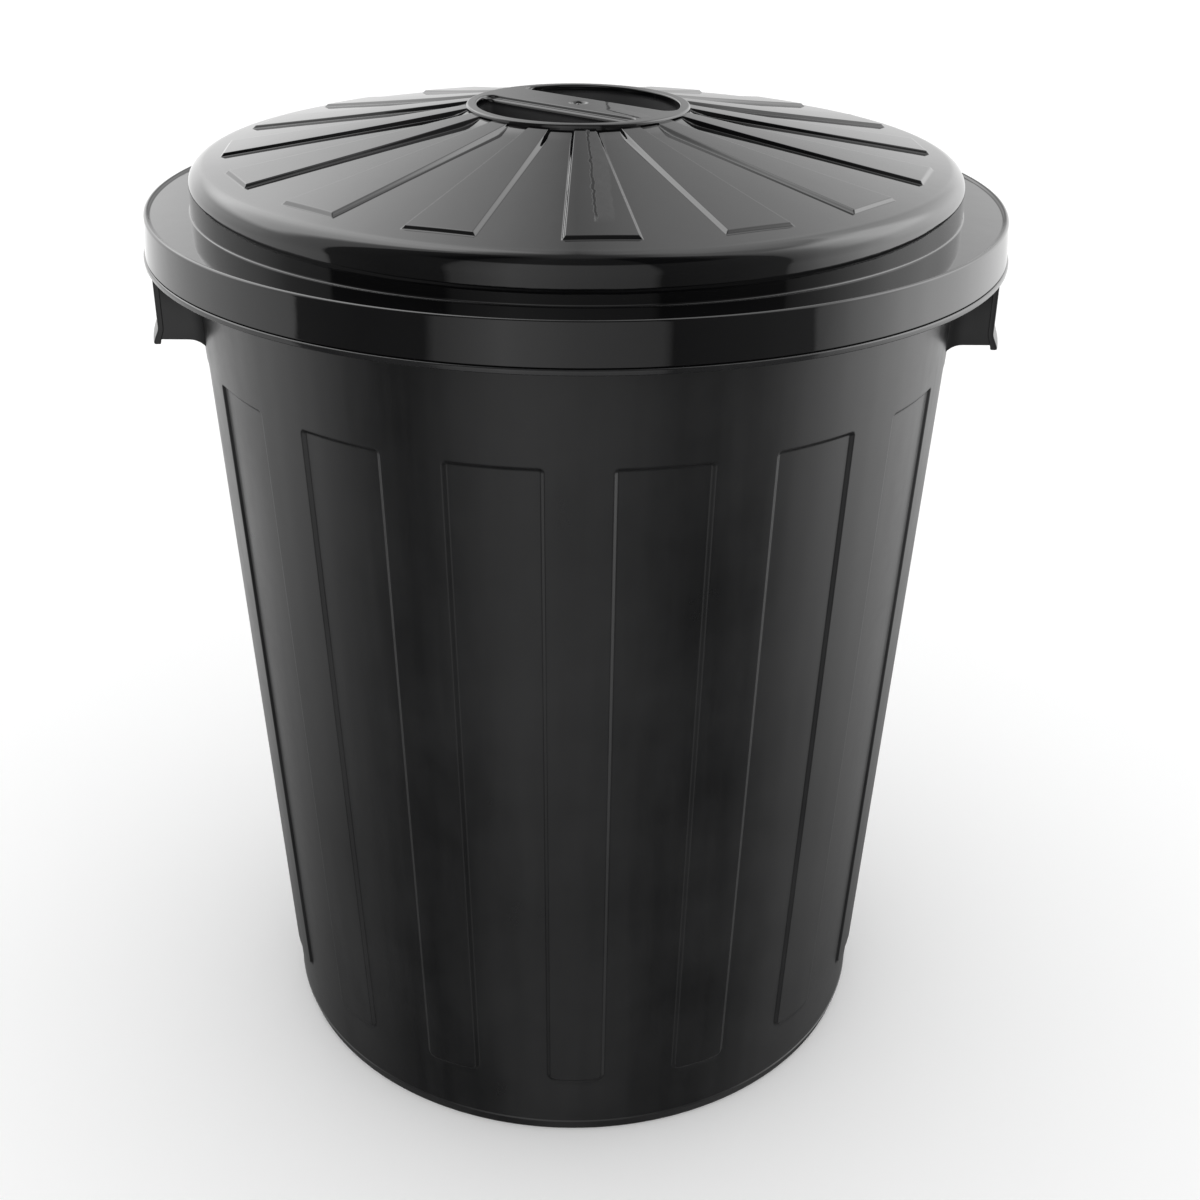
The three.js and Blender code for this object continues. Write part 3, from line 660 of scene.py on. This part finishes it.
def pocket_grid(top, edge, floor, expand, rim_radius, marked):
    """Half of the grip's surface: from the half disc's outline in to the pocket's edge, over
    the edge, down the drafted wall, round the foot of the wall and to the floor's middle.

    top, edge and expand are given column by column. The marked half is the upper surface: it
    has the gate mark, and its edge goes from the ring's quarter circle to the bar's step.
    """
    bar = bar_share()
    corner_u = BAR_HALF_WIDTH + RECESS_CORNER
    reach = math.sqrt((RECESS_RADIUS - RECESS_CORNER) ** 2 - corner_u ** 2)
    outer = half_disc(rim_radius, reach, math.atan2(reach, corner_u))[None]
    brink = pocket_outline(-edge - expand)
    share = np.concatenate([np.linspace(0, 0.5, 17), [0.6, 0.75, 0.9, 0.97]])[:, None, None]
    flat = outer + (brink - outer) * share
    flat_z = top + 0 * flat[..., 0]
    if marked:
        flat_z = flat_z + gate_mark(flat[..., 0], flat[..., 1])
    step = rounded([[BAR_EDGE, 0, 0], [BAR_LEDGE + 0.5, 0, 0.9], [BAR_LEDGE, BAR_STEP, 0.6],
                    [0, BAR_STEP + 0.2, 1.6], [0, BAR_EDGE, 0]], 3)
    turn = np.radians(np.linspace(0, 90, len(step)))[:, None]
    out, fall = edge * (1 - np.sin(turn)), edge * (1 - np.cos(turn))
    if marked:
        out = POCKET_EDGE * (1 - np.sin(turn)) * (1 - bar) + step[:, :1] * bar
        fall = POCKET_EDGE * (1 - np.cos(turn)) * (1 - bar) + step[:, 1:] * bar
    over = pocket_outline(-out - expand)
    over_z = top - fall
    turn = np.radians(np.linspace(0, 90, 8))[:, None]
    draft = 1.2 + 1.3 * (1 - bar)  # how far the wall leans in: less along the bar
    foot = 2.0  # rounding between wall and floor
    down = np.array([0.03, 0.3, 0.6, 0.9, 0.97])[:, None]
    wall_z = top - edge + (floor + foot - top + edge) * down
    wall = pocket_outline(draft * down - expand)
    foot_inset = draft + foot * (1 - np.cos(turn)) - expand
    foot_z = floor + foot * (1 - np.sin(turn)) + 0 * draft
    base = pocket_outline(foot_inset)
    middle = np.array([0.5 * (BAR_HALF_WIDTH + RECESS_RADIUS), 0])
    inward = np.array([0.08, 0.4, 0.7, 1.0])[:, None, None]
    ground = base[-1:] + (middle - base[-1:]) * inward
    plan = np.concatenate([flat, over, wall, base, ground])
    height = np.concatenate([flat_z, over_z, wall_z, foot_z, foot_z[-1:] + 0 * ground[..., 0]])
    turn = math.radians(BAR_TURN)
    x = plan[..., 0] * math.cos(turn) + plan[..., 1] * math.sin(turn)
    y = plan[..., 0] * math.sin(turn) - plan[..., 1] * math.cos(turn)
    return np.stack([x, y, height], axis=-1)


def grip_grids():
    """Both halves of the top and of the underside, and the outside of the ring between."""
    bar = bar_share()
    top = GRIP_TOP_Z + 0 * bar
    upper = pocket_grid(top, POCKET_EDGE + (BAR_EDGE - POCKET_EDGE) * bar, RECESS_FLOOR_Z, 0 * bar,
                        GRIP_RADIUS - RING_EDGE, True)
    under_ring = dome_z(GRIP_RADIUS) - LID_THICKNESS
    under = under_ring + (GRIP_TOP_Z - GRIP_THICKNESS - under_ring) * bar
    lower = pocket_grid(under, 0.4 + 0 * bar, RECESS_FLOOR_Z - GRIP_THICKNESS,
                        GRIP_THICKNESS - 0.4 + 0 * bar, GRIP_RADIUS, False)
    half = len(CORNER_COLUMNS) // 2
    first = len(LINE_COLUMNS) + half
    last = len(LINE_COLUMNS) + len(CORNER_COLUMNS) + len(ARC_COLUMNS) + half
    turn = np.radians(np.linspace(0, 90, 7))[:, None, None]
    rim_top, rim_low = upper[:1, first:last], lower[:1, first:last]
    rim_top = np.concatenate([rim_top, rim_top * (-1, -1, 1)], axis=1)
    rim_low = np.concatenate([rim_low, rim_low * (-1, -1, 1)], axis=1)
    spread = (GRIP_RADIUS - RING_EDGE * (1 - np.sin(turn))) / (GRIP_RADIUS - RING_EDGE)
    bead = rim_top * np.concatenate([spread, spread, spread * 0 + 1], axis=-1)
    bead[..., 2:] -= RING_EDGE * (1 - np.cos(turn))
    straight = rim_low + (bead[-1:] - rim_low) * np.array([0.9, 0.1, 0])[:, None, None]
    side = np.concatenate([bead, straight])
    flip = (-1, -1, 1)
    return upper, upper * flip, lower, lower * flip, side


grip = moulding("lid_grip_recess", *grip_grids())
grip.data.materials.append(lid_finish)
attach(grip, "lid")
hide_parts("lid_grip")

# ---- Floor and light -------------------------------------------------------------------
# A plain pale floor. The light comes from the whole pale room; what the shiny plastic mirrors
# is a studio with large soft panels at both sides and behind, a narrower one in front, and
# unlit gaps between them.


def pale_floor():
    """Matt off-white with a very faint unevenness."""
    material = bpy.data.materials.new("pale_floor")
    nodes = Nodes(material)
    place = nodes.add("ShaderNodeTexCoord", output="Object")
    colour = nodes.tint(nodes.noise(place, 3), (0.93, 0.93, 0.93), (0.95, 0.95, 0.95))
    nodes.finish(nodes.add("ShaderNodeBsdfPrincipled", {"Base Color": colour, "Roughness": 0.9}))
    return material


floor_mesh = bpy.data.meshes.new("floor")
floor_mesh.from_pydata([(-30, -30, 0), (30, -30, 0), (30, 30, 0), (-30, 30, 0)], [],
                       [(0, 1, 2, 3)])
floor = bpy.data.objects.new("floor", floor_mesh)
floor.data.materials.append(pale_floor())
floor.visible_glossy = False
bpy.context.scene.collection.objects.link(floor)


PANELS = (  # brightness of the panels round the room, by compass angle, at eye level
    (-180, 0.45), (-176, 0.8), (-165, 1.4), (-130, 1.35), (-100, 1.3), (-80, 1.12),
    (-74.6, 1.05), (-73.8, 0.2), (-55, 0.13), (-37.0, 0.14), (-36.2, 0.5), (-26, 0.8),
    (-18, 1.05), (0, 0.74), (22.2, 0.56), (23.0, 0.13), (45, 0.2), (60.6, 0.3), (61.8, 0.85),
    (73, 1.8), (90, 3.0), (100, 3.1), (118, 2.5), (133, 1.95), (150, 1.35), (165, 1.15),
    (176, 0.7), (180, 0.45),
)


def studio(world):
    """The room: plain and pale to the eye and for the light it gives, and with soft panels for
    mirror-like rays, by their compass angle and elevation in degrees."""
    nodes = Nodes(world)
    direction = nodes.add("ShaderNodeTexCoord", output="Generated")
    parts = nodes.tree.nodes.new("ShaderNodeSeparateXYZ")
    nodes.tree.links.new(direction, parts.inputs[0])
    x, y, z = parts.outputs
    degrees = 180 / math.pi
    compass = nodes.math("MULTIPLY", degrees,
                         nodes.math("ARCTAN2", x, nodes.math("MULTIPLY", y, -1.0)))
    height = nodes.math("MULTIPLY", degrees, nodes.math("ARCSINE", z))

    def soft(value, low, high):
        return nodes.ranged(value, low, high, kind="SMOOTHSTEP")

    def less(value):
        return nodes.math("SUBTRACT", 1.0, value)

    def times(first, *others):
        for other in others:
            first = nodes.math("MULTIPLY", first, other)
        return first

    # The panels, from a colour ramp that holds a quarter of their brightness.
    around = nodes.tree.nodes.new("ShaderNodeValToRGB")
    stops = around.color_ramp.elements
    for angle, level in PANELS[1:-1]:
        stops.new((angle + 180) / 360)
    for stop, (angle, level) in zip(stops, PANELS):
        stop.position = (angle + 180) / 360
        stop.color = (level / 4, level / 4, level / 4, 1)
    nodes.tree.links.new(nodes.ranged(compass, -180, 180), around.inputs[0])
    panels = nodes.math("MULTIPLY", around.outputs[0], 4.0)
    # They end in a weaker ceiling, dark above the front, and brighten upwards at the sides.
    away = nodes.math("ABSOLUTE", compass)
    panels = nodes.math("MINIMUM", panels, nodes.ranged(height, 42, 52, 4.0, 1.5))
    front_top = times(less(soft(away, 44, 60)), soft(height, 38, 45), 0.8)
    rise = times(0.35, soft(height, -12, 12), soft(away, 85, 105), less(soft(away, 158, 170)))
    panels = times(panels, less(front_top), nodes.math("ADD", rise, 1.0))
    # Three lamps: high on the left, on the right, and faintly behind.
    left_lamp = times(2.0, soft(height, 12, 26), less(soft(height, 64, 80)),
                      less(soft(compass, -104, -88)), soft(compass, -178, -138))
    right_lamp = times(1.4, soft(height, 8, 24), less(soft(height, 40, 50)),
                       soft(compass, 72, 88), less(soft(compass, 118, 134)))
    behind = times(0.45, soft(away, 150, 175), soft(height, 25, 52), less(soft(height, 66, 88)))
    lamps = nodes.math("ADD", nodes.math("ADD", left_lamp, right_lamp), behind)
    # Everything dims towards the floor, more so at the sides and again on the right.
    beside = soft(away, 45, 70)
    low = nodes.math("ADD", nodes.math("MULTIPLY", beside, nodes.ranged(
        height, -46, -12, 0.1, 1.0, "SMOOTHSTEP")), nodes.math("MULTIPLY", less(
            beside), nodes.ranged(height, -52, -10, 0.27, 1.05, "SMOOTHSTEP")))
    right_low = times(0.3, soft(compass, 50, 70), less(soft(height, -24, -12)))
    mirrored = times(nodes.math("ADD", panels, lamps), low, less(right_low))
    # Straight up the ceiling is even.
    zenith = soft(height, 70, 86)
    mirrored = nodes.math("MULTIPLY_ADD", zenith, 0.4, times(mirrored, less(zenith)))
    paths = nodes.tree.nodes.new("ShaderNodeLightPath").outputs
    strength = nodes.add("ShaderNodeMix", {
        "Factor": paths["Is Glossy Ray"], 2: 1.15, 3: mirrored})
    nodes.finish(nodes.add("ShaderNodeBackground", {
        "Color": (1.0, 1.0, 1.0, 1), "Strength": strength}), "ShaderNodeOutputWorld")


bpy.context.scene.view_settings.view_transform = "Standard"
room = bpy.data.worlds.new("pale_room")
bpy.context.scene.world = room
studio(room)

# ---- Camera ----------------------------------------------------------------------------
# It stands in front of the bin, a little above the lid, and looks down at it.

CAMERA_PLACE = (0.0, -0.8451, 0.6843)
CAMERA_DOWN = 27.403
CAMERA_TURN = 0.961
CAMERA_ROLL = 0.719
CAMERA_LENS = 48.319  # in millimetres, on a sensor 36 wide

down, turn, roll = (math.radians(angle) for angle in (CAMERA_DOWN, CAMERA_TURN, CAMERA_ROLL))
ahead = Vector((math.sin(turn) * math.cos(down), math.cos(turn) * math.cos(down),
                -math.sin(down)))
level = Vector((math.cos(turn), -math.sin(turn), 0))
upward = level.cross(ahead)
right = math.cos(roll) * level + math.sin(roll) * upward
top = math.cos(roll) * upward - math.sin(roll) * level
camera_data = bpy.data.cameras.new("camera")
camera_data.sensor_width = 36
camera_data.lens = CAMERA_LENS
camera = bpy.data.objects.new("camera", camera_data)
camera.matrix_world = Matrix.Translation(CAMERA_PLACE) @ Matrix(
    (right, top, -ahead)).transposed().to_4x4()
bpy.context.scene.collection.objects.link(camera)
bpy.context.scene.camera = camera
